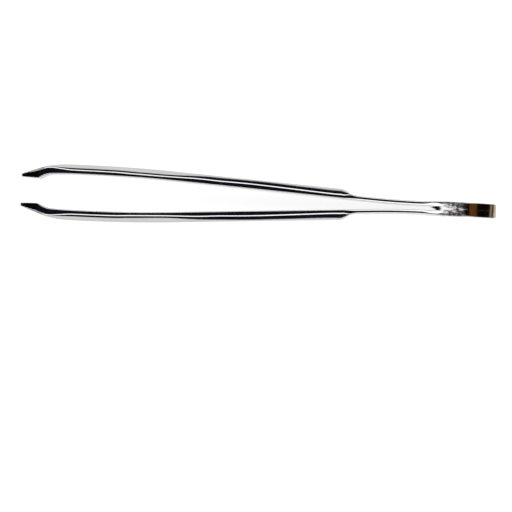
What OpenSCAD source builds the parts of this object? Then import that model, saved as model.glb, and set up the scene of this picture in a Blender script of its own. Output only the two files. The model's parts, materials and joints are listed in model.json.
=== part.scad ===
// Stamp tongs: two flat spring arms with broad spade tips, spot-welded together at a pointed tail.
//
// The tongs lie on their long edges. +X points to the tail, +-Y is the way the tips open, and +Z is
// up, across the width of the arms. The origin is under the middle of the tongs, on the mid-plane
// between the arms. The right arm, on the +Y side, is drawn and the left arm mirrors it.
//
// Every shape is a function of the distance d along the tongs from the point of the tail.

/* [Overall] */
// Length from the point of the tail to the edges of the tips
overall_length = 95; // [90:1:120]
// Gap between the tips at rest
tip_gap = 5.2; // [4:0.1:6]

/* [Tail] */
// Widest part of the tail
tail_width = 6.65; // [6.2:0.05:8]
// Thickness of both welded halves together
tail_thickness = 2.9; // [2.4:0.05:3.2]
// Length of the pointed end
point_length = 10; // [9:0.5:10.5]
// Distance from the point to where the halves part
crotch_at = 11.6; // [11:0.1:13]
// Diameter of each spot weld
weld_diameter = 2.8; // [2:0.1:3]

/* [Leaf spring] */
// Length of the thin spring leaf, from the crotch to the shoulder
leaf_length = 17.6; // [15:0.1:20]
// Thickness of the leaf
leaf_thickness = 0.88; // [0.7:0.02:1]
// Gap between the two leaves beside the crotch
leaf_gap = 0.92; // [0.7:0.02:1]
// Angle at which each arm leaves the mid-plane, in degrees
splay = 3.38; // [3:0.02:3.8]

/* [Grip] */
// Width of the grip
grip_width = 6.1; // [5.5:0.1:6.2]
// Thickness of the grip
grip_thickness = 2.04; // [1.8:0.02:2.2]
// Length of the parallel-sided part of the grip
grip_length = 23.3; // [16:0.1:26]
// Widest part of the outer face between the bevels of the grip
grip_crown = 4.8; // [4.4:0.1:4.9]

/* [Neck] */
// Width of the neck
neck_width = 4.15; // [3.5:0.05:5]
// Length of the parallel-sided part of the neck
neck_length = 8; // [6:0.5:10]
// Width of the ridge along the neck
neck_crown = 0.94; // [0.8:0.02:2]

/* [Tip] */
// Length of the flared spade, from the neck to the edge
spade_length = 10.5; // [10:0.1:12]
// Width of the spade at its edge
tip_width = 5.85; // [5:0.05:6.2]
// Thickness of the edge
edge_thickness = 0.55; // [0.4:0.05:0.7]
// Slope of the ground face on the outside of the spade, in degrees
facet_angle = 21.4; // [20:0.1:24]
// Length of the flat inner land that holds a stamp
land_length = 3.4; // [2.5:0.1:4]
// Radius of the corners of the spade, seen from its broad side
corner_radius = 0.5; // [0.3:0.05:0.8]

/* [Hidden] */

polished = [0.80, 0.81, 0.83];
welded = [0.50, 0.49, 0.48];

// Places along the tongs, from the point of the tail
crotch_ramp = 1.6;
shoulder_length = 2;
leaf_at = crotch_at + crotch_ramp;
shoulder_at = crotch_at + leaf_length;
grip_at = shoulder_at + shoulder_length;
grip_end = grip_at + grip_length;
neck_end = overall_length - spade_length;
neck_at = neck_end - neck_length;
heel_at = overall_length - land_length;

// Bends: each arm leaves the mid-plane in the leaf, and comes back parallel to it at the neck
leaf_bend_at = leaf_at + 2;
leaf_bend_length = 10;
fore_bend_at = neck_end - 20.7;
fore_bend_length = 18;
nose_bend_at = neck_end - 0.5;
nose_bend_length = 6;
nose_slope = 0.08;

// Sections: a flat inner face, sides that slope in towards it, and outside an arc, a nearly straight
// bevel, a rounded corner and a crowned face. Tilts are in degrees, away from the plane of the side.
slope_end = 26;
bevel_start = 30;
bevel_end = 42;
crown_margin = 0.28;
heel_slope = tan(30);
facet_slope = tan(facet_angle);
knee_round = 0.8;
heel_round = 0.6;

// Flexing joint: a round bead on the end of the front half of the leaf, in a round seat
hinge_at = (leaf_at + shoulder_at) / 2;
bead_proud = 0.06;
bead_radius = leaf_thickness / 2 + bead_proud;
running_clearance = 0.02;
seat_radius = bead_radius + running_clearance;
bead_inset = 0.1;

// Gap left between each land and the mid-plane when the tongs are squeezed shut
closed_gap = 0.02;

// Tail point: two long arcs that would meet a little past the end, joined by a small round nose
point_overrun = 0.3;
point_rise = point_length + point_overrun;
point_arc = (pow(point_rise, 2) + pow(tail_width / 2, 2)) / tail_width;
point_angle = asin(point_length / point_arc);
nose_start = tail_width / 2 - point_arc * (1 - cos(point_angle));
nose_radius = nose_start / (cos(point_angle) - tan(point_angle) * (1 - sin(point_angle)));
nose_length = nose_radius * (1 - sin(point_angle));
tail_edge_round = 0.5;

weld_depth = 0.3;
weld_places = [4.4, 8.4];

mid_height = tail_width / 2;
tail_end = overall_length / 2;
past = 1;

// Slope of a smooth curve through the points, at point i: level at peaks, so it never overshoots
function secant(points, i) = (points[i + 1][1] - points[i][1]) / (points[i + 1][0] - points[i][0]);
function slope_at(points, i) =
    i == 0 || i == len(points) - 1 ? 0
    : let (before = secant(points, i - 1), after = secant(points, i))
      before * after <= 0 ? 0 : 2 * before * after / (before + after);

// Value at d of the smooth curve through a list of [distance, value]
function through(points, d, i = 0) =
    d <= points[0][0] ? points[0][1]
    : d >= points[len(points) - 1][0] ? points[len(points) - 1][1]
    : d > points[i + 1][0] ? through(points, d, i + 1)
    : let (
        span = points[i + 1][0] - points[i][0],
        t = (d - points[i][0]) / span,
        start_slope = slope_at(points, i) * span,
        end_slope = slope_at(points, i + 1) * span
      )
      (2 * t * t * t - 3 * t * t + 1) * points[i][1]
      + (t * t * t - 2 * t * t + t) * start_slope
      + (3 * t * t - 2 * t * t * t) * points[i + 1][1]
      + (t * t * t - t * t) * end_slope;

// A share of the way from a to b
function mix(a, b, share) = a + (b - a) * share;

// The lower of two values, rounded over where they cross
function soft_min(a, b, round) =
    let (near = max(round - abs(a - b), 0) / round)
    min(a, b) - near * near * round / 4;

// Sideways travel, per unit of slope, of a line that bends evenly over a length
function bend(d, at, length) =
    d <= at ? 0
    : d < at + length ? pow(d - at, 2) / (2 * length)
    : d - at - length / 2;

// Half the gap between the arms, without the tips
function stock_inner(d) =
    leaf_gap / 2
    + tan(splay) * (bend(d, leaf_bend_at, leaf_bend_length) - bend(d, fore_bend_at, fore_bend_length))
    - nose_slope * bend(d, nose_bend_at, nose_bend_length);

// The axis on which one arm flexes
hinge_y = stock_inner(hinge_at) + leaf_thickness / 2;

// How far each arm turns before the tips meet. The lands lie at this angle at rest.
reach = overall_length - hinge_at;
rise = tip_gap / 2 - hinge_y;
close_angle = atan2(rise, reach) + asin((hinge_y - closed_gap) / norm([reach, rise]));

function land(d) = tip_gap / 2 - (overall_length - d) * tan(close_angle);
function heel(d) = land(heel_at) + (heel_at - d) * heel_slope;

// Half the gap between the arms: crotch, leaf, stock, heel and land
function inner(d) =
    d <= crotch_at ? 0
    : d < leaf_at ? leaf_gap / 2 * (d - crotch_at) / crotch_ramp
    : d < nose_bend_at ? stock_inner(d)
    : max(land(d), soft_min(stock_inner(d), heel(d), heel_round));

function thickness(d) =
    through(
        [
            [shoulder_at - 1.4, leaf_thickness],
            [shoulder_at, leaf_thickness + 0.2],
            [grip_at - 0.8, grip_thickness - 0.26],
            [grip_at + 0.2, grip_thickness]
        ],
        d
    );

// The middle of the outer face: welded tail, leaf, grip and neck, then the ground face of the spade
function facet(d) = tip_gap / 2 + edge_thickness + (overall_length - d) * facet_slope;
function outer(d) =
    d < leaf_bend_at
    ? through(
        [
            [crotch_at + 0.8, tail_thickness / 2],
            [leaf_at + 2, leaf_gap / 2 + leaf_thickness]
        ],
        d
      )
    : stock_inner(d) + thickness(d);

// Half the width, seen from the broad side
function point_half(d) =
    d < nose_length
    ? sqrt(d * (2 * nose_radius - d))
    : tail_width / 2 - point_arc + sqrt(pow(point_arc, 2) - pow(point_length - d, 2));
function corner_cut(d) =
    let (past_corner = d - overall_length + corner_radius)
    past_corner > 0 ? corner_radius - sqrt(pow(corner_radius, 2) - pow(past_corner, 2)) : 0;
function half_width(d) =
    d < point_length
    ? point_half(d)
    : through(
        [
            [crotch_at + 7, tail_width / 2],
            [shoulder_at, grip_width / 2],
            [grip_end, grip_width / 2],
            [grip_end + 4, mix(grip_width, neck_width, 0.14) / 2],
            [neck_at - 10, mix(grip_width, neck_width, 0.36) / 2],
            [neck_at - 4, mix(grip_width, neck_width, 0.75) / 2],
            [neck_at, neck_width / 2],
            [neck_end, neck_width / 2],
            [heel_at - 0.3, mix(neck_width, tip_width, 0.38) / 2],
            [overall_length, tip_width / 2]
        ],
        d
      ) - corner_cut(d);

// Half the width of the outer face: full on the leaf, spear-shaped on the grip, a ridge on the neck
function crown(d) =
    min(
        half_width(d) - crown_margin,
        through(
            [
                [shoulder_at - 2, tail_width / 2],
                [shoulder_at, grip_width / 2 - crown_margin],
                [grip_at - 0.6, grip_crown / 2 - 0.45],
                [grip_at + grip_length * 0.78, grip_crown / 2],
                [grip_end + 4, grip_crown / 2 - 0.4],
                [neck_at - 10, neck_crown / 2 + 0.53],
                [neck_at, neck_crown / 2],
                [neck_end, neck_crown / 2],
                [neck_end + 3.5, neck_crown],
                [heel_at - 1.4, 1.65],
                [heel_at + 0.4, 2.15],
                [overall_length, tip_width / 2 - 0.2]
            ],
            d
        )
    );

// How far the outer face has tilted where it meets its rounded edges
function crown_lean(d) =
    through([[shoulder_at - 1, 1.5], [grip_at + 2, 9], [neck_at, 10], [neck_end, 10], [heel_at, 3]], d);

// Radius of the arc that leads from the side into the bevel
function side_radius(d) =
    through(
        [
            [shoulder_at, 0.3],
            [grip_at, 0.72],
            [neck_end, 0.75],
            [neck_end + 4, 0.65],
            [heel_at, 0.3],
            [overall_length, 0.12]
        ],
        d
    );

// Length of the nearly straight bevel, which fades out on the neck
function bevel(d) =
    through(
        [
            [shoulder_at, 0.02],
            [grip_at, 1],
            [grip_at + 8, 0.94],
            [grip_end, 0.84],
            [neck_at - 10, 0.42],
            [neck_at, 0.34],
            [neck_end, 0.28],
            [heel_at - 1.4, 0.02]
        ],
        d
    );

// Radius of the arc by which the side slopes in: half the thickness of the leaf, slight elsewhere
function inner_slope(d) =
    through([[shoulder_at - 1, 0.8], [grip_at, 0.25], [heel_at - 1, 0.3], [heel_at + 0.8, 0.05]], d);

// Radius of the corner between that slope and the inner face
function inner_corner(d) =
    through([[shoulder_at, 0.1], [neck_end, 0.14], [heel_at - 1, 0.2], [heel_at + 0.8, 0.06]], d);

// Points [across, height] along an arc, after its start, as the surface turns between two tilts
function arc(start, radius, from, to, steps) =
    [
        for (i = [1:steps])
        let (tilt = from + (to - from) * i / steps)
        start + radius * [cos(tilt) - cos(from), sin(tilt) - sin(from)]
    ];
function end_of(points) = points[len(points) - 1];

// Half a section, outside: from the top of the side to the middle of the outer face
function outer_half(d) =
    let (
        width = half_width(d),
        face = crown(d),
        lean = crown_lean(d),
        bevel_radius = bevel(d) / ((bevel_end - bevel_start) * PI / 180),
        left =
            width - face
            - side_radius(d) * (1 - cos(bevel_start))
            - bevel_radius * (cos(bevel_start) - cos(bevel_end)),
        corner_radius = left / (cos(bevel_end) - sin(lean)),
        side_arc = arc([width, 0], side_radius(d), 0, bevel_start, 2),
        straight = arc(end_of(side_arc), bevel_radius, bevel_start, bevel_end, 1),
        edge = arc(end_of(straight), corner_radius, bevel_end, 90 - lean, 2),
        face_arc = arc(end_of(edge), face / sin(lean), 90 - lean, 90, 2),
        lift = outer(d) - end_of(face_arc).y
    )
    [
        for (p = concat([[width, 0]], side_arc, straight, edge, face_arc))
        [p.x, soft_min(p.y + lift, facet(d), knee_round)]
    ];

// Half a section, inside: from the edge of the inner face to the foot of the side
function inner_half(d) =
    let (
        corner = inner_corner(d),
        slope = inner_slope(d),
        face = half_width(d) - slope * (1 - cos(slope_end)) - corner * cos(slope_end),
        edge = arc([face, inner(d)], corner, -90, -slope_end, 1),
        sloping = arc(end_of(edge), slope, -slope_end, 0, 2)
    )
    concat([[face, inner(d)]], edge, sloping);

// Distance along the tongs, turned into the row's X
function along(d) = tail_end - d;

// One cross-section of an arm, as points from the inner edge on one side round to the other
function section(d) =
    let (half = concat(inner_half(d), outer_half(d)), middle = len(half) - 1)
    [
        for (p = half) [along(d), p.y, mid_height - p.x],
        for (i = [middle - 1:-1:0]) [along(d), half[i].y, mid_height + half[i].x]
    ];

// Where the cross-sections stand: close together at the shoulder and the spade
function spread(from, to, count) = [for (i = [0:count - 1]) from + (to - from) * i / count];
stations =
    concat(
        spread(hinge_at, shoulder_at, 4),
        spread(shoulder_at, grip_at, 6),
        spread(grip_at, grip_end, 6),
        spread(grip_end, neck_end, 14),
        spread(neck_end, heel_at, 12),
        spread(heel_at, overall_length - corner_radius, 4),
        [for (a = [0:30:90]) overall_length - corner_radius * (1 - sin(a))]
    );

// A closed solid through a list of cross-sections that all have the same number of points
module loft(sections) {
    ring = len(sections[0]);
    last = len(sections) - 1;
    walls =
        [
            for (s = [0:last - 1], i = [0:ring - 1])
            let (a = s * ring + i, b = s * ring + (i + 1) % ring)
            each [[a, b, b + ring], [a, b + ring, a + ring]]
        ];
    tail_cap = [for (i = [ring - 1:-1:0]) i];
    tip_cap = [for (i = [0:ring - 1]) last * ring + i];
    polyhedron(points = [for (s = sections) each s], faces = concat(walls, [tail_cap, tip_cap]));
}

// A round bar along the axis on which the right arm flexes
module hinge_bar(radius, length) {
    translate([along(hinge_at), hinge_y, mid_height - length / 2])
        cylinder(r = radius, h = length, $fn = 48);
}

// The moving front of the right arm: half the leaf, the grip, the neck and the spade tip
module arm_front() {
    color(polished) {
        loft([for (d = stations) section(d)]);
        hinge_bar(bead_radius, 2 * (half_width(hinge_at) - bead_inset));
    }
}

// The side profile of one welded half, from the point of the tail to the seat of the bead
module tail_profile() {
    steps = 24;
    leaf_steps = [for (i = [0:steps]) leaf_at + (hinge_at - leaf_at) * i / steps];
    rounding = [for (a = [0:15:90]) tail_edge_round * [1 - sin(a), 1 - cos(a)]];
    polygon(
        concat(
            [[along(0), 0], [along(crotch_at), 0]],
            [for (d = leaf_steps) [along(d), inner(d)]],
            [for (i = [steps:-1:0]) [along(leaf_steps[i]), outer(leaf_steps[i])]],
            [[along(crotch_at + 0.8), tail_thickness / 2]],
            [for (r = rounding) [along(r.x), tail_thickness / 2 - r.y]]
        )
    );
}

// The outline of the tail, seen from its broad side
module tail_outline() {
    nose = [for (i = [0:4]) nose_radius * (1 - cos((90 - point_angle) * i / 5))];
    sides = [for (i = [0:40]) nose_length + (hinge_at + past - nose_length) * i / 40];
    edge = concat(nose, sides);
    polygon(
        concat(
            [for (d = edge) [along(d), mid_height + half_width(d)]],
            [for (i = [len(edge) - 1:-1:1]) [along(edge[i]), mid_height - half_width(edge[i])]]
        )
    );
}

// One spot weld, which melts equally into both halves
module weld(d) {
    translate([along(d), weld_depth, mid_height])
        rotate([90, 0, 0])
            cylinder(d = weld_diameter, h = 2 * weld_depth, $fn = 48);
}

// The welded tail of the right arm, with the rear half of its leaf
module arm_tail() {
    color(polished)
        difference() {
            intersection() {
                linear_extrude(height = tail_width) tail_profile();
                translate([0, tail_thickness + past, 0])
                    rotate([90, 0, 0])
                        linear_extrude(height = tail_thickness + 2 * past) tail_outline();
            }
            hinge_bar(seat_radius, tail_width + 2 * past);
            for (d = weld_places) weld(d);
        }
}

module right_arm_front() arm_front();

module left_arm_front() mirror([0, 1, 0]) arm_front();

module right_arm_tail() arm_tail();

module left_arm_tail() mirror([0, 1, 0]) arm_tail();

module weld_nuggets() {
    color(welded)
        for (d = weld_places) weld(d);
}

right_arm_front();
left_arm_front();
right_arm_tail();
left_arm_tail();
weld_nuggets();
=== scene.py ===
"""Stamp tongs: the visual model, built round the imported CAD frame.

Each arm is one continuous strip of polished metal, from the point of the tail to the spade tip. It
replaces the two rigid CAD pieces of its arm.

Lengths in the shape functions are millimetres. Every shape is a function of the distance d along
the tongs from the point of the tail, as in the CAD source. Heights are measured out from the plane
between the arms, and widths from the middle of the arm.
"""

import json
import math

import bpy
import numpy as np
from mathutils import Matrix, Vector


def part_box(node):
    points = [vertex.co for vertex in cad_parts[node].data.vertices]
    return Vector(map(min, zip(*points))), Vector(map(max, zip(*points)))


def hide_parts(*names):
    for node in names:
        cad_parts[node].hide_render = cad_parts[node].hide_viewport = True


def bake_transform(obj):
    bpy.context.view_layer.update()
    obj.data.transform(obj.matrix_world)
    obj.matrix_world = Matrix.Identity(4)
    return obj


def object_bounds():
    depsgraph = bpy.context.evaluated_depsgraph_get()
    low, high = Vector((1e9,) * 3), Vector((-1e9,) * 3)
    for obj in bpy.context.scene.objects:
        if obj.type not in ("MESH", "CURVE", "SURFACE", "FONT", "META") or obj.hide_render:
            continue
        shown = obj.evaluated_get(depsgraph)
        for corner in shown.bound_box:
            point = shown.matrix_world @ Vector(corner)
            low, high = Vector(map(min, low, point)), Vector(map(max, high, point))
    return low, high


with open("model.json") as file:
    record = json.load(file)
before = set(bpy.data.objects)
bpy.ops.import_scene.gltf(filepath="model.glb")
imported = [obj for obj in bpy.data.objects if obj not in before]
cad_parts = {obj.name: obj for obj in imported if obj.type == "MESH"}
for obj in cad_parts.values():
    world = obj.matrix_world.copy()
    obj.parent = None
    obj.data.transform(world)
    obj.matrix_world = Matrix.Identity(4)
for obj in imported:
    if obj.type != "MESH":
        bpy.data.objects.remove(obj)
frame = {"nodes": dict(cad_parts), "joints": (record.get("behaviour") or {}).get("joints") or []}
CAD_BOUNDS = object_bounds()

# ---------------------------------------------------------------- sizes from the frame

MM = 0.001
LOW, HIGH = (np.array(corner) / MM for corner in CAD_BOUNDS)
TAIL_LOW, TAIL_HIGH = (np.array(corner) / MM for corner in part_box("right_arm_tail"))
FLEX = next(joint for joint in frame["joints"] if joint["name"] == "right_arm_flex")
CLOSE_ANGLE = math.radians(FLEX["range_deg"][1])

LENGTH = HIGH[0] - LOW[0]
TAIL_END = HIGH[0]
MID_HEIGHT = (LOW[2] + HIGH[2]) / 2
TAIL_WIDTH = TAIL_HIGH[2] - TAIL_LOW[2]
TAIL_HALF = TAIL_HIGH[1]
HINGE_AT = TAIL_END - FLEX["pos_m"][0] / MM

# ---------------------------------------------------------------- lengthwise plan of an arm

CROTCH_AT = 11.6
CROTCH_RAMP = 1.6
LEAF_AT = CROTCH_AT + CROTCH_RAMP
SHOULDER_AT = 2 * HINGE_AT - LEAF_AT
SHOULDER_LENGTH = 2.0
GRIP_AT = SHOULDER_AT + SHOULDER_LENGTH
GRIP_LENGTH = 23.3
GRIP_END = GRIP_AT + GRIP_LENGTH
NECK_END = LENGTH - 10.5
NECK_AT = NECK_END - 8
LAND_LENGTH = 3.4
HEEL_AT = LENGTH - LAND_LENGTH

# Where the strip bends: outwards at the leaf, back again at the neck, and inwards at the tip
LEAF_BEND_AT = LEAF_AT + 2
LEAF_BEND_LENGTH = 10
FORE_BEND_AT = NECK_END - 20.7
FORE_BEND_LENGTH = 18
NOSE_BEND_AT = NECK_END - 0.5
NOSE_BEND_LENGTH = 6

# Thickness, and the gap between the two leaves
LEAF_THICKNESS = 0.88
LEAF_GAP = 0.92
GRIP_THICKNESS = 2.04

# Full widths of the arm and of its outer face, the crown
GRIP_WIDTH = 6.1
GRIP_CROWN = 4.8
NECK_WIDTH = 4.15
NECK_CROWN = 0.94
CROWN_MARGIN = 0.28

# The tip: width, gap between the open lands, thickness of the front edge, rounding of its corners
TIP_WIDTH = 5.85
TIP_GAP = 5.2
TIP_EDGE = 0.55
CORNER_RADIUS = 0.5

# Slopes of the arm and of the faces of the tip, and how far their meeting lines are rounded
SPLAY_SLOPE = math.tan(math.radians(3.38))
NOSE_SLOPE = 0.08
HEEL_SLOPE = math.tan(math.radians(30))
FACET_SLOPE = math.tan(math.radians(21.4))
HEEL_ROUND = 0.6
KNEE_ROUND = 0.8

# The stretch of the tail where the weld was dressed, and how high the painted shade in the crotch
# reaches
DRESSED_FROM = 6.4
DRESSED_TO = 10.4
CROTCH_SHADE_HEIGHT = 0.36

# The pointed end of the tail: two large arcs that run into a small round nose
POINT_LENGTH = 10.0
POINT_OVERRUN = 0.3
POINT_ARC = ((POINT_LENGTH + POINT_OVERRUN) ** 2 + (TAIL_WIDTH / 2) ** 2) / TAIL_WIDTH
POINT_ANGLE = math.asin(POINT_LENGTH / POINT_ARC)
NOSE_START = TAIL_WIDTH / 2 - POINT_ARC * (1 - math.cos(POINT_ANGLE))
NOSE_RADIUS = NOSE_START / (
    math.cos(POINT_ANGLE) - math.tan(POINT_ANGLE) * (1 - math.sin(POINT_ANGLE))
)
NOSE_LENGTH = NOSE_RADIUS * (1 - math.sin(POINT_ANGLE))
NOSE_EDGE_ROUND = 0.5


def mix(a, b, share):
    """A share of the way from a to b."""
    return a + (b - a) * share


def through(points, d):
    """The smooth curve through [distance, value] points, level at its ends and peaks."""
    at, value = (np.array(column, float) for column in zip(*points))
    secant = np.diff(value) / np.diff(at)
    before, after = secant[:-1], secant[1:]
    total = np.where(before + after == 0, 1, before + after)
    inside = np.where(before * after > 0, 2 * before * after / total, 0)
    slope = np.concatenate([[0], inside, [0]])
    d = np.clip(d, at[0], at[-1])
    i = np.clip(np.searchsorted(at, d, side="right") - 1, 0, len(at) - 2)
    span = at[i + 1] - at[i]
    t = (d - at[i]) / span
    return (
        (2 * t**3 - 3 * t**2 + 1) * value[i]
        + (t**3 - 2 * t**2 + t) * slope[i] * span
        + (3 * t**2 - 2 * t**3) * value[i + 1]
        + (t**3 - t**2) * slope[i + 1] * span
    )


def soft_min(a, b, size):
    """The lower of two values, rounded over where they cross."""
    near = np.maximum(size - np.abs(a - b), 0) / size
    return np.minimum(a, b) - near**2 * size / 4


def bend(d, at, length):
    """Sideways travel, per unit of slope, of a line that bends evenly over a length."""
    inside = np.clip(d - at, 0, length)
    return inside**2 / (2 * length) + np.maximum(d - at - length, 0)


def stock_inner(d):
    """Half the gap between the arms, without the tips."""
    leaf = bend(d, LEAF_BEND_AT, LEAF_BEND_LENGTH)
    fore = bend(d, FORE_BEND_AT, FORE_BEND_LENGTH)
    nose = bend(d, NOSE_BEND_AT, NOSE_BEND_LENGTH)
    return LEAF_GAP / 2 + SPLAY_SLOPE * (leaf - fore) - NOSE_SLOPE * nose


def land(d):
    """The flat inner face of the tip, which lies at the closing angle when the tongs are open."""
    return TIP_GAP / 2 - (LENGTH - d) * math.tan(CLOSE_ANGLE)


def inner(d):
    """Half the gap between the arms: crotch, leaf, stock, heel and land."""
    crotch = LEAF_GAP / 2 * np.clip((d - CROTCH_AT) / CROTCH_RAMP, 0, 1)
    heel = land(HEEL_AT) + (HEEL_AT - d) * HEEL_SLOPE
    tip = np.maximum(land(d), soft_min(stock_inner(d), heel, HEEL_ROUND))
    return np.where(d < LEAF_AT, crotch, np.where(d < NOSE_BEND_AT, stock_inner(d), tip))


def thickness(d):
    """Thickness of the stock, with a rounded step up from the leaf to the grip."""
    return through(
        [
            (SHOULDER_AT - 1.4, LEAF_THICKNESS),
            (SHOULDER_AT, LEAF_THICKNESS + 0.2),
            (GRIP_AT - 0.8, GRIP_THICKNESS - 0.26),
            (GRIP_AT + 0.2, GRIP_THICKNESS),
        ],
        d,
    )


def outer(d):
    """The middle of the outer face, before the spade is ground."""
    tail = through(
        [(CROTCH_AT + 0.8, TAIL_HALF), (LEAF_BEND_AT, LEAF_GAP / 2 + LEAF_THICKNESS)], d
    )
    inset = np.clip(NOSE_EDGE_ROUND - d, 0, NOSE_EDGE_ROUND)
    tail = tail - NOSE_EDGE_ROUND + np.sqrt(NOSE_EDGE_ROUND**2 - inset**2)
    return np.where(d < LEAF_BEND_AT, tail, stock_inner(d) + thickness(d))


def facet(d):
    """The ground outer face of the spade, a sloping plane."""
    return TIP_GAP / 2 + TIP_EDGE + (LENGTH - d) * FACET_SLOPE


def half_width(d):
    """Half the width, seen from the broad side."""
    nose = np.sqrt(np.maximum(d * (2 * NOSE_RADIUS - d), 0))
    ogive_rise = np.clip(POINT_LENGTH - d, 0, POINT_LENGTH)
    ogive = TAIL_WIDTH / 2 - POINT_ARC + np.sqrt(POINT_ARC**2 - ogive_rise**2)
    point = np.where(d < NOSE_LENGTH, nose, ogive)
    body = through(
        [
            (CROTCH_AT + 7, TAIL_WIDTH / 2),
            (SHOULDER_AT, GRIP_WIDTH / 2),
            (GRIP_END, GRIP_WIDTH / 2),
            (GRIP_END + 4, mix(GRIP_WIDTH, NECK_WIDTH, 0.14) / 2),
            (NECK_AT - 10, mix(GRIP_WIDTH, NECK_WIDTH, 0.36) / 2),
            (NECK_AT - 4, mix(GRIP_WIDTH, NECK_WIDTH, 0.75) / 2),
            (NECK_AT, NECK_WIDTH / 2),
            (NECK_END, NECK_WIDTH / 2),
            (HEEL_AT - 0.3, mix(NECK_WIDTH, TIP_WIDTH, 0.38) / 2),
            (LENGTH, TIP_WIDTH / 2),
        ],
        d,
    )
    past_corner = np.clip(d - LENGTH + CORNER_RADIUS, 0, CORNER_RADIUS)
    corner = CORNER_RADIUS - np.sqrt(CORNER_RADIUS**2 - past_corner**2)
    return np.where(d < POINT_LENGTH, point, body - corner)


def inner_slope(d):
    """Radius of the arc that slopes the sides down towards the inner face: nothing on the welded
    point, wide where the weld was dressed at the crotch, and half the thickness of the leaf."""
    return through(
        [
            (DRESSED_FROM, 0.01),
            (DRESSED_TO, 4.6),
            (CROTCH_AT, 4.6),
            (LEAF_BEND_AT, 1.0),
            (SHOULDER_AT - 1, 0.8),
            (GRIP_AT, 0.25),
            (NECK_END, 0.25),
            (HEEL_AT - 1, 0.3),
            (HEEL_AT + 0.8, 0.05),
        ],
        d,
    )


def slope_tilt(d):
    """The tilt at which that slope starts, in radians: the dressed sides lean from their edges on."""
    degrees = through(
        [(DRESSED_FROM, 0), (DRESSED_TO, 13), (CROTCH_AT + 0.8, 13), (LEAF_BEND_AT, 0)], d
    )
    return np.radians(degrees)


def inner_corner(d):
    """Radius of the corner between that slope and the inner face."""
    return through(
        [
            (CROTCH_AT - 0.6, 0.01),
            (LEAF_BEND_AT, 0.07),
            (SHOULDER_AT, 0.1),
            (NECK_END, 0.14),
            (HEEL_AT - 1, 0.2),
            (HEEL_AT + 0.8, 0.06),
        ],
        d,
    )


def crown(d):
    """Half the width of the outer face: full on the tail and the leaf, spear-shaped on the grip, and
    a narrow ridge on the neck."""
    width = half_width(d)
    edge = through([(0, 0.2), (CROTCH_AT, 0.22), (LEAF_BEND_AT, CROWN_MARGIN)], d)
    spear = through(
        [
            (SHOULDER_AT - 2, TAIL_WIDTH / 2),
            (SHOULDER_AT, GRIP_WIDTH / 2 - CROWN_MARGIN),
            (GRIP_AT - 0.6, GRIP_CROWN / 2 - 0.45),
            (GRIP_AT + GRIP_LENGTH * 0.78, GRIP_CROWN / 2),
            (GRIP_END + 4, GRIP_CROWN / 2 - 0.4),
            (NECK_AT - 10, NECK_CROWN / 2 + 0.53),
            (NECK_AT, NECK_CROWN / 2),
            (NECK_END, NECK_CROWN / 2),
            (NECK_END + 3.5, NECK_CROWN),
            (HEEL_AT - 1.4, 1.65),
            (HEEL_AT + 0.4, 2.15),
            (LENGTH, TIP_WIDTH / 2 - 0.2),
        ],
        d,
    )
    return np.minimum(width - np.minimum(edge, width / 2), spear)


def crown_lean(d):
    """How far the outer face has tilted where it meets its rounded edges, in radians."""
    degrees = through(
        [(SHOULDER_AT - 1, 1.5), (GRIP_AT + 2, 9), (NECK_AT, 10), (NECK_END, 10), (HEEL_AT, 3)], d
    )
    return np.radians(degrees)


def side_radius(d):
    """Radius of the arc that leads from the side of an arm into its bevel."""
    return through(
        [
            (0, 0.18),
            (CROTCH_AT, 0.2),
            (LEAF_BEND_AT, 0.3),
            (SHOULDER_AT, 0.3),
            (GRIP_AT, 0.72),
            (NECK_AT, 0.6),
            (NECK_END, 0.58),
            (NECK_END + 4, 0.55),
            (HEEL_AT, 0.3),
            (LENGTH, 0.12),
        ],
        d,
    )


def bevel(d):
    """Length of the nearly straight bevel on the edges of the grip, which fades out on the neck."""
    return through(
        [
            (SHOULDER_AT, 0.0),
            (GRIP_AT, 1.0),
            (GRIP_AT + 8, 0.94),
            (GRIP_END, 0.84),
            (NECK_AT - 10, 0.42),
            (NECK_AT, 0.48),
            (NECK_END, 0.44),
            (HEEL_AT - 1.4, 0.0),
        ],
        d,
    )


def facet_round(d):
    """How far the side edges of the ground face are rounded down: sharp at the tip."""
    return through(
        [(HEEL_AT - 1.2, 0.5), (HEEL_AT + 0.4, 0.45), (HEEL_AT + 1.9, 0.22), (LENGTH, 0.05)], d
    )


# ---------------------------------------------------------------- the mesh of an arm


def spread(start, end, step):
    """Evenly spaced places from start up to, but not on, end."""
    return np.linspace(start, end, max(2, round((end - start) / step)), endpoint=False)


def stations():
    """Where the cross-sections stand: close together where the shape turns quickly."""
    nose = NOSE_LENGTH * (1 - np.cos(np.linspace(0.12, math.pi / 2, 8, endpoint=False)))
    corner = LENGTH - CORNER_RADIUS * (1 - np.sin(np.linspace(0, math.pi / 2, 10)))
    return np.concatenate(
        [
            nose,
            spread(NOSE_LENGTH, 1, 0.08),
            spread(1, CROTCH_AT - 1, 0.25),
            spread(CROTCH_AT - 1, LEAF_BEND_AT, 0.1),
            spread(LEAF_BEND_AT, SHOULDER_AT - 1, 0.3),
            spread(SHOULDER_AT - 1, GRIP_AT + 1, 0.06),
            spread(GRIP_AT + 1, NECK_END, 0.45),
            spread(NECK_END, HEEL_AT + 0.4, 0.08),
            spread(HEEL_AT + 0.4, LENGTH - CORNER_RADIUS, 0.15),
            corner,
        ]
    )


# Shares along the flat parts of a half-section, with extra lines close to where they end
FLAT_SHARES = np.array([0, 0.2, 0.4, 0.6, 0.8, 0.93, 0.985])
SIDE_SHARES = np.array([0, 0.06, 0.3, 0.5, 0.7, 0.94])
# The tilt, away from the side, at which its inner slope ends
SLOPE_END = math.radians(26)
# The largest share of a side that the slope takes up
SLOPE_SHARE = 0.9
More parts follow.
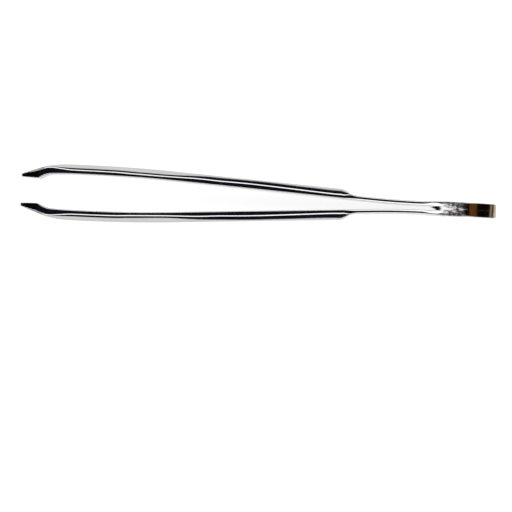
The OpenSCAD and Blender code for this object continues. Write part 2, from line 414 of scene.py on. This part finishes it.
# The tilts at which the bevel begins and ends
BEVEL_START = math.radians(30)
BEVEL_END = math.radians(42)
# How many steps each rounded part of a half-section has
CORNER_STEPS = 5
SLOPE_STEPS = 8
SIDE_STEPS = 7
BEVEL_STEPS = 3
EDGE_STEPS = 9
CROWN_STEPS = 8
# The width over which the side edges of the ground face are rounded
FACET_EDGE = 0.3
# Faces that meet at a larger angle, in degrees, have a sharp edge between them
SHARP_ANGLE = 32
# The rear end of the ground face is an arc
GROUND_AT = HEEL_AT - 1.3
GROUND_RADIUS = 2.1
NOT_GROUND = -9.0


def arc(start, radius, tilt_start, tilt_end, steps):
    """Points along an arc, from start, whose surface turns from one tilt to another. Returns widths
    and heights without the end point, and the end point."""
    tilt = tilt_start + (tilt_end - tilt_start) * np.linspace(0, 1, steps + 1)
    across = start[0] - radius * (np.cos(tilt_start) - np.cos(tilt))
    height = start[1] + radius * (np.sin(tilt) - np.sin(tilt_start))
    return (across[:, :-1], height[:, :-1]), (across[:, -1:], height[:, -1:])


def outer_curve(d):
    """The outer side of the half-sections, from the top of the side to the middle of the outer face:
    an arc, the bevel, a rounded corner and the crown."""
    width, face, lean = half_width(d), crown(d), crown_lean(d)
    side = np.minimum(side_radius(d), width - face)
    bevel_radius = bevel(d) / (BEVEL_END - BEVEL_START)
    left = width - face
    left = left - side * (1 - math.cos(BEVEL_START))
    left = left - bevel_radius * (math.cos(BEVEL_START) - math.cos(BEVEL_END))
    edge_radius = left / (math.cos(BEVEL_END) - np.sin(lean))
    top = math.pi / 2
    side_arc, end = arc((width, 0 * d), side, 0.0, BEVEL_START, SIDE_STEPS)
    straight, end = arc(end, bevel_radius, BEVEL_START, BEVEL_END, BEVEL_STEPS)
    edge, end = arc(end, edge_radius, BEVEL_END, top - lean, EDGE_STEPS)
    face_arc, end = arc(end, face / np.sin(lean), top - lean, top, CROWN_STEPS)
    parts = [side_arc, straight, edge, face_arc, end]
    across = np.hstack([part[0] for part in parts])
    height = np.hstack([part[1] for part in parts])
    return across, height - height[:, -1:] + outer(d)


def inside_ground(d, across):
    """Distance inside the outline of the ground face, seen from the broad side."""
    behind = GROUND_RADIUS - np.hypot(d - GROUND_AT, across)
    return np.where(d < GROUND_AT, behind, np.maximum(GROUND_RADIUS - across, d - GROUND_AT))


def half_section(d):
    """One side of the cross-sections, from the middle of the inner face round to the middle of the
    outer face: widths, heights and distances inside the ground face, with one row for each d."""
    d = d[:, None]
    width, low = half_width(d), inner(d)
    across, height = outer_curve(d)
    into_edge = np.clip(1 - (width - across) / FACET_EDGE, 0, 1)
    ground = facet(d) - facet_round(d) * (1 - np.sqrt(1 - into_edge**2))
    height = soft_min(height, ground, KNEE_ROUND)

    start, corner = slope_tilt(d), inner_corner(d)
    side_high = height[:, :1]
    room = side_high - low - corner * (1 - math.sin(SLOPE_END))
    slope = np.minimum(inner_slope(d), SLOPE_SHARE * room / (math.sin(SLOPE_END) - np.sin(start)))
    face = width - slope * (np.cos(start) - math.cos(SLOPE_END)) - corner * math.cos(SLOPE_END)
    inner_face = (FLAT_SHARES * face, low + 0 * FLAT_SHARES)
    inner_edge, end = arc((face, low), corner, -math.pi / 2, -SLOPE_END, CORNER_STEPS)
    sloping, end = arc(end, slope, -SLOPE_END, -start, SLOPE_STEPS)
    side = (width + 0 * SIDE_SHARES, mix(end[1], side_high, SIDE_SHARES))
    inside = [inner_face, inner_edge, sloping, side]
    not_ground = [np.full(part[0].shape, NOT_GROUND) for part in inside]
    ground = np.hstack([*not_ground, inside_ground(d, across)])
    across = np.hstack([part[0] for part in inside] + [across])
    height = np.hstack([part[1] for part in inside] + [height])
    return across, height, ground


def put_on(mesh, name, kind, field, values):
    """Store one value for each point of the mesh."""
    data = mesh.attributes.new(name, kind, "POINT").data
    data.foreach_set(field, values.astype(np.float32).ravel())


def make_arm(name, side):
    """One arm as a closed mesh. side is 1 for the right arm, on +Y, and -1 for the left arm."""
    d = stations()
    across, height, ground = half_section(d)
    # The other side mirrors this one, without repeating the middle of either face.
    across = np.hstack([across, -across[:, -2:0:-1]])
    height = np.hstack([height, height[:, -2:0:-1]])
    ground = np.hstack([ground, ground[:, -2:0:-1]])
    rows, ring = across.shape
    along = np.repeat(d[:, None], ring, axis=1)

    places = np.stack([TAIL_END - along, side * height, MID_HEIGHT + across], axis=-1)
    number = np.arange(rows * ring).reshape(rows, ring)
    a, b = number[:-1], np.roll(number[:-1], -1, axis=1)
    c, e = np.roll(number[1:], -1, axis=1), number[1:]
    walls = np.stack([a, b, c, e], axis=-1).reshape(-1, 4)
    faces = walls.tolist() + [number[0][::-1].tolist(), number[-1].tolist()]
    if side > 0:
        faces = [face[::-1] for face in faces]

    mesh = bpy.data.meshes.new(name)
    mesh.from_pydata((places.reshape(-1, 3) * MM).tolist(), [], faces)
    mesh.validate()
    mesh.shade_smooth()
    mesh.set_sharp_from_angle(angle=math.radians(SHARP_ANGLE))
    # The patterns of the metal follow these, so that they stay in place when the arm bends.
    rest = np.stack([along, across, side * height], axis=-1)
    put_on(mesh, "rest_mm", "FLOAT_VECTOR", "vector", rest)
    put_on(mesh, "ground_mm", "FLOAT", "value", ground)
    put_on(mesh, "inset_mm", "FLOAT", "value", half_width(along) - np.abs(across))
    arm = bpy.data.objects.new(name, mesh)
    bpy.context.scene.collection.objects.link(arm)
    weighted = arm.modifiers.new("weighted_normals", "WEIGHTED_NORMAL")
    weighted.keep_sharp = True
    return arm


# ---------------------------------------------------------------- materials


class Nodes:
    """A small helper for writing shader nodes as expressions."""

    def __init__(self, tree):
        self.tree = tree

    def add(self, kind, **settings):
        node = self.tree.nodes.new(kind)
        for key, value in settings.items():
            setattr(node, key, value)
        return node

    def put(self, socket, value):
        if isinstance(value, bpy.types.NodeSocket):
            self.tree.links.new(value, socket)
        else:
            socket.default_value = value

    def math(self, operation, a, b=0.0, c=0.0):
        node = self.add("ShaderNodeMath", operation=operation)
        for socket, value in zip(node.inputs, (a, b, c)):
            self.put(socket, value)
        return node.outputs[0]

    def step(self, value, low, high, out_low=0.0, out_high=1.0):
        node = self.add("ShaderNodeMapRange", interpolation_type="SMOOTHSTEP")
        for socket, given in zip(node.inputs, (value, low, high, out_low, out_high)):
            self.put(socket, given)
        return node.outputs[0]

    def blend(self, share, a, b):
        node = self.add("ShaderNodeMix", data_type="RGBA")
        self.put(node.inputs["Factor"], share)
        self.put(node.inputs["A"], (*a, 1.0) if isinstance(a, tuple) else a)
        self.put(node.inputs["B"], (*b, 1.0) if isinstance(b, tuple) else b)
        return node.outputs["Result"]

    def attribute(self, name, output):
        return self.add("ShaderNodeAttribute", attribute_name=name).outputs[output]

    def stretch(self, vector, scale, turn=0.0):
        node = self.add("ShaderNodeMapping")
        self.put(node.inputs["Vector"], vector)
        node.inputs["Scale"].default_value = scale
        node.inputs["Rotation"].default_value = (0, 0, turn)
        return node.outputs[0]

    def noise(self, vector, scale, detail=2.0, roughness=0.5):
        node = self.add("ShaderNodeTexNoise")
        self.put(node.inputs["Vector"], vector)
        node.inputs["Scale"].default_value = scale
        node.inputs["Detail"].default_value = detail
        node.inputs["Roughness"].default_value = roughness
        return node.outputs["Fac"]


def new_material(name):
    """A material with one Principled shader, and the helper for its nodes."""
    material = bpy.data.materials.new(name)
    material.use_nodes = True
    return material, Nodes(material.node_tree), material.node_tree.nodes["Principled BSDF"]


def between(n, value, start, full, fade, end):
    """A mask that rises from start to full and falls again from fade to end."""
    return n.math("MULTIPLY", n.step(value, start, full), n.step(value, fade, end, 1.0, 0.0))


def weighted_sum(n, total, *terms):
    """A starting number, plus each pattern times its weight."""
    for pattern, weight in terms:
        total = n.math("MULTIPLY_ADD", pattern, weight, total)
    return total


def add_bump(n, shader, height, unit):
    """Give a shader fine relief. Heights are in the given unit of length."""
    bump = n.add("ShaderNodeBump")
    bump.inputs["Strength"].default_value = 1.0
    bump.inputs["Distance"].default_value = unit
    n.put(bump.inputs["Height"], height)
    n.put(shader.inputs["Normal"], bump.outputs[0])


def scratches(n, place, turn, density):
    """Fine straight scratches: thin crests of noise that is stretched along one direction."""
    lines = n.noise(n.stretch(place, (0.35, 14, 14), turn), 1.0, 1.0)
    breaks = n.noise(n.stretch(place, (1.1, 2.2, 2.2), turn), 1.0, 1.0)
    crest = n.math("ABSOLUTE", n.math("SUBTRACT", lines, 0.5))
    thin = n.step(crest, 0.0, 0.012, 1.0, 0.0)
    return n.math("MULTIPLY", thin, n.step(breaks, density, density + 0.05))


def etching(n, along, across, height):
    """A band of plain lozenges between two hairlines, etched into the outside of the left arm."""
    pitch, repeats, start = 2.2, 9, 7.2
    half_length, half_height = 0.53, 0.85
    line = 0.07
    face_low, face_high = -0.9, -0.8
    end = start + repeats * pitch
    shifted = n.math("PINGPONG", n.math("SUBTRACT", along, start), pitch)
    from_middle = n.math("ABSOLUTE", n.math("SUBTRACT", shifted, pitch / 2))
    off_axis = n.math("ABSOLUTE", across)
    lozenge = n.math("MULTIPLY_ADD", from_middle, half_height / half_length, off_axis)
    outline = n.math("ABSOLUTE", n.math("SUBTRACT", lozenge, half_height))
    rail = n.math("ABSOLUTE", n.math("SUBTRACT", off_axis, 2 * half_height))
    marks = n.step(n.math("MINIMUM", outline, rail), line, 1.5 * line, 1.0, 0.0)
    within = between(n, along, start - line, start, end, end + line)
    outside = n.step(height, face_low, face_high, 1.0, 0.0)
    return n.math("MULTIPLY", marks, n.math("MULTIPLY", within, outside))


def dressed_weld(n, along, inset):
    """Where the sides were dressed by hand, between the crotch and the pointed end."""
    stretch = between(
        n, along, DRESSED_FROM - 1, DRESSED_FROM + 2, DRESSED_TO - 0.6, CROTCH_AT + 0.6
    )
    return n.math("MULTIPLY", stretch, n.step(inset, 0.2, 0.4, 1.0, 0.0))


def painted_shade_in_crotch(n, along, height):
    """Where shade is painted nearly black into the crotch, close to the plane between the arms."""
    stretch = between(n, along, CROTCH_AT - 0.5, CROTCH_AT + 0.4, CROTCH_AT + 0.8, LEAF_AT)
    off_plane = n.math("ABSOLUTE", height)
    near = n.step(off_plane, CROTCH_SHADE_HEIGHT, CROTCH_SHADE_HEIGHT + 0.15, 1.0, 0.0)
    return n.math("MULTIPLY", stretch, near)


class MetalMarks:
    """Masks and patterns of the metal. They read places that are stored on the mesh, so they stay
    where they are on the arm when it bends."""

    def __init__(self, n):
        place = n.attribute("rest_mm", "Vector")
        inside_ground = n.attribute("ground_mm", "Fac")
        split = n.add("ShaderNodeSeparateXYZ")
        n.put(split.inputs[0], place)
        along, across, height = split.outputs

        self.ground = n.step(inside_ground, -0.03, 0.03)
        self.rim = n.math("MULTIPLY", self.ground, n.step(inside_ground, 0.08, 0.22, 1.0, 0.0))
        self.etched = etching(n, along, across, height)
        self.dressed = dressed_weld(n, along, n.attribute("inset_mm", "Fac"))
        # Painted shade: the crotch, where shadow falls between the arms, is coloured nearly black.
        self.crotch_shade = painted_shade_in_crotch(n, along, height)

        self.polish = n.noise(n.stretch(place, (0.25, 9, 9)), 1.0, 3.0)
        self.waves = n.noise(n.stretch(place, (0.12, 0.5, 0.5)), 1.0, 1.0)
        self.smudge = n.noise(place, 0.22, 3.0)
        one_way, other_way = scratches(n, place, 0.12, 0.56), scratches(n, place, -0.5, 0.6)
        self.fine = n.math("MAXIMUM", one_way, other_way)
        specks = n.step(n.noise(place, 2.6, 2.0, 0.7), 0.74, 0.77)
        self.flaws = n.math("MAXIMUM", self.fine, specks)
        self.grinding = n.noise(n.stretch(place, (14, 0.7, 2)), 1.0, 3.0)
        self.mottle = n.noise(place, 0.9, 2.0)
        self.burnt = n.noise(place, 1.5, 2.0)
        self.ripple = n.noise(n.stretch(place, (2.2, 1.0, 3.2)), 1.0, 3.0, 0.6)


def metal_colour(n, marks):
    """Bright plate with worn flaws, burnt at the weld, painted shade nearly black in the crotch, and
    duller where it is ground.
    """
    clean, smudged, worn = (0.50, 0.50, 0.495), (0.57, 0.57, 0.56), (0.78, 0.78, 0.77)
    # The last colour on the next line is painted shade for the crotch, not a colour of the metal.
    burnt_dark, burnt_light, crotch_shade = (0.06, 0.05, 0.06), (0.38, 0.37, 0.37), (0.03, 0.03, 0.03)
    ground_dark, ground_light = (0.42, 0.405, 0.415), (0.47, 0.475, 0.46)
    rim, etched = (0.74, 0.67, 0.42), (0.2, 0.2, 0.21)

    plate = n.blend(marks.smudge, clean, smudged)
    plate = n.blend(marks.flaws, plate, worn)
    heated = n.blend(n.step(marks.burnt, 0.4, 0.62), burnt_dark, burnt_light)
    plate = n.blend(marks.dressed, plate, heated)
    # Painted shade: the crotch is coloured nearly black.
    plate = n.blend(marks.crotch_shade, plate, crotch_shade)
    matt = n.blend(n.step(marks.mottle, 0.35, 0.65), ground_dark, ground_light)
    colour = n.blend(marks.ground, plate, matt)
    colour = n.blend(marks.rim, colour, rim)
    return n.blend(marks.etched, colour, etched)


def metal_roughness(n, marks):
    """A mirror polish, a little duller on smudges and flaws, and matt where it is ground."""
    mirror, ground, marked = 0.03, 0.4, 0.5
    gloss = weighted_sum(
        n,
        mirror,
        (marks.polish, 0.05),
        (n.step(marks.smudge, 0.5, 0.7), 0.03),
        (marks.flaws, 0.18),
        (marks.dressed, 0.1),
    )
    dull = n.math("MULTIPLY", weighted_sum(n, ground, (marks.grinding, 0.14)), marks.ground)
    # The etched lines, and the crotch where shade is painted, are made rough.
    spoilt = n.math("MULTIPLY", n.math("MAXIMUM", marks.etched, marks.crotch_shade), marked)
    return n.math("MAXIMUM", n.math("MAXIMUM", gloss, dull), spoilt)


def metal_relief(n, marks):
    """The height of the fine relief, in millimetres."""
    return weighted_sum(
        n,
        0.0,
        (marks.waves, 0.02),
        (marks.polish, 0.0008),
        (marks.fine, -0.001),
        (n.math("MULTIPLY", marks.grinding, marks.ground), 0.004),
        (n.math("MULTIPLY", marks.ripple, marks.dressed), 0.11),
        (marks.etched, -0.01),
    )


def polished_metal():
    """Nickel plate with a mirror polish, the matt ground face of each spade, and the rougher edge
    where the weld was dressed."""
    edge_tint = (0.8, 0.8, 0.81, 1.0)
    material, n, shader = new_material("polished_nickel")
    marks = MetalMarks(n)
    n.put(shader.inputs["Base Color"], metal_colour(n, marks))
    n.put(shader.inputs["Roughness"], metal_roughness(n, marks))
    shader.inputs["Metallic"].default_value = 1.0
    shader.inputs["Specular Tint"].default_value = edge_tint
    add_bump(n, shader, metal_relief(n, marks), MM)
    return material


def weld_metal():
    """Bare steel that has melted and set again, with bluish and straw-coloured ripples."""
    bluish, straw = (0.34, 0.33, 0.36), (0.52, 0.50, 0.47)
    material, n, shader = new_material("weld_steel")
    place = n.add("ShaderNodeTexCoord").outputs["Object"]
    ripple = n.noise(place, 2500.0, 3.0)
    n.put(shader.inputs["Base Color"], n.blend(ripple, bluish, straw))
    n.put(shader.inputs["Roughness"], weighted_sum(n, 0.35, (ripple, 0.3)))
    shader.inputs["Metallic"].default_value = 1.0
    add_bump(n, shader, ripple, 0.05 * MM)
    return material


def floor_glass():
    """The milky glass of a light table, lit from below."""
    dark, light = (0.34, 0.34, 0.34), (0.36, 0.36, 0.36)
    material, n, shader = new_material("floor_glass")
    place = n.add("ShaderNodeTexCoord").outputs["Object"]
    grain = n.noise(place, 60.0, 4.0)
    n.put(shader.inputs["Base Color"], n.blend(grain, dark, light))
    shader.inputs["Roughness"].default_value = 0.9
    shader.inputs["Emission Color"].default_value = (1.0, 1.0, 1.0, 1.0)
    shader.inputs["Emission Strength"].default_value = 0.88
    return material


# ---------------------------------------------------------------- the object

METAL = polished_metal()
WELD = weld_metal()

for side_name, side in (("right", 1), ("left", -1)):
    body = f"{side_name}_arm"
    arm = make_arm(body, side)
    arm.data.materials.append(METAL)
    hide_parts(f"{body}_front", f"{body}_tail")
    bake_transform(arm)

for material_slot in frame["nodes"]["weld_nuggets"].material_slots:
    material_slot.material = WELD

# ---------------------------------------------------------------- floor, light and camera

FLOOR_SIZE = 4.0

# The light tent: what it shows at each angle from straight overhead, in degrees
NIGHT = (0.004, 0.004, 0.008)
SHADE = (0.002, 0.0015, 0.001)
LAMP = (1.0, 1.0, 1.0)
WALL = (0.5, 0.5, 0.5)
BROWN = (0.075, 0.028, 0.006)
TAN = (0.24, 0.15, 0.08)
BEIGE = (0.46, 0.41, 0.33)
TENT_SIDES = [
    (0, NIGHT),
    (20, NIGHT),
    (24, LAMP),
    (50.5, LAMP),
    (55, NIGHT),
    (79, NIGHT),
    (84, WALL),
    (180, WALL),
]
TENT_ENDS = [(0, NIGHT), (66, NIGHT), (76, WALL), (180, WALL)]
TAIL_STAND = [
    (0, SHADE),
    (33, SHADE),
    (37, BROWN),
    (45, BROWN),
    (49, SHADE),
    (66, SHADE),
    (69, TAN),
    (72, SHADE),
    (76, BEIGE),
    (180, WALL),
]


def make_floor():
    """A wide light table under the tongs."""
    half = FLOOR_SIZE / 2
    mesh = bpy.data.meshes.new("floor")
    corners = [(-half, -half, 0), (half, -half, 0), (half, half, 0), (-half, half, 0)]
    mesh.from_pydata(corners, [], [(0, 1, 2, 3)])
    floor = bpy.data.objects.new("floor", mesh)
    bpy.context.scene.collection.objects.link(floor)
    mesh.materials.append(floor_glass())


def rings(n, from_top, stops):
    """A colour for each angle from straight overhead, given as [degrees, colour]."""
    node = n.add("ShaderNodeValToRGB")
    node.color_ramp.interpolation = "EASE"
    ramp = node.color_ramp.elements
    for i, (angle, colour) in enumerate(stops):
        element = ramp[i] if i < 2 else ramp.new(angle / 180)
        element.position = angle / 180
        element.color = (*colour, 1.0)
    n.put(node.inputs[0], from_top)
    return node.outputs[0]


def tent_colour(n):
    """What the tent shows in each direction: its sides, its ends and what stands beyond the tail."""
    split = n.add("ShaderNodeSeparateXYZ")
    n.put(split.inputs[0], n.add("ShaderNodeTexCoord").outputs["Generated"])
    x, y, z = split.outputs
    from_top = n.math("DIVIDE", n.math("ARCCOSINE", z), math.pi)
    level_squared = n.math("SUBTRACT", 1.0, n.math("MULTIPLY", z, z))
    level = n.math("SQRT", n.math("MAXIMUM", level_squared, 1e-6))
    beside = n.step(n.math("DIVIDE", n.math("ABSOLUTE", y), level), 0.4, 0.65)
    beyond_tail = n.step(n.math("DIVIDE", x, level), 0.88, 0.93)
    colour = n.blend(beside, rings(n, from_top, TENT_ENDS), rings(n, from_top, TENT_SIDES))
    return n.blend(beyond_tail, colour, rings(n, from_top, TAIL_STAND))


def make_light():
    """A light tent: a dark opening overhead, and a long soft light on each side, with a dark gap
    between it and the pale wall. Beyond the tail stands something dark with a brown and a tan
    band."""
    strength = 2.1
    world = bpy.data.worlds.new("light_tent")
    bpy.context.scene.world = world
    world.use_nodes = True
    n = Nodes(world.node_tree)
    background = world.node_tree.nodes["Background"]
    n.put(background.inputs["Color"], tent_colour(n))
    background.inputs["Strength"].default_value = strength


def make_camera():
    """A lens straight above the middle of the picture, rolled a little. The tongs lie above the
    middle."""
    lens = 100.0
    sensor = 36.0
    margin = 1.073
    picture_width = LENGTH * MM * margin
    roll = math.radians(2.58)
    aim_right = -0.0068 * picture_width
    aim_up = -0.1085 * picture_width
    sharp_height = 0.8 * HIGH[2] * MM
    camera_data = bpy.data.cameras.new("camera")
    camera_data.lens = lens
    camera_data.sensor_width = sensor
    camera_data.clip_start = 0.01
    camera = bpy.data.objects.new("camera", camera_data)
    bpy.context.scene.collection.objects.link(camera)
    right = np.array([math.cos(roll), math.sin(roll), 0])
    up = np.array([-math.sin(roll), math.cos(roll), 0])
    centre = np.array([0, 0, sharp_height])
    distance = picture_width * lens / sensor
    camera.location = centre + right * aim_right + up * aim_up + np.array([0, 0, distance])
    camera.rotation_euler = (0, 0, roll)
    bpy.context.scene.camera = camera


make_floor()
make_light()
make_camera()
bpy.context.scene.view_settings.view_transform = "Standard"
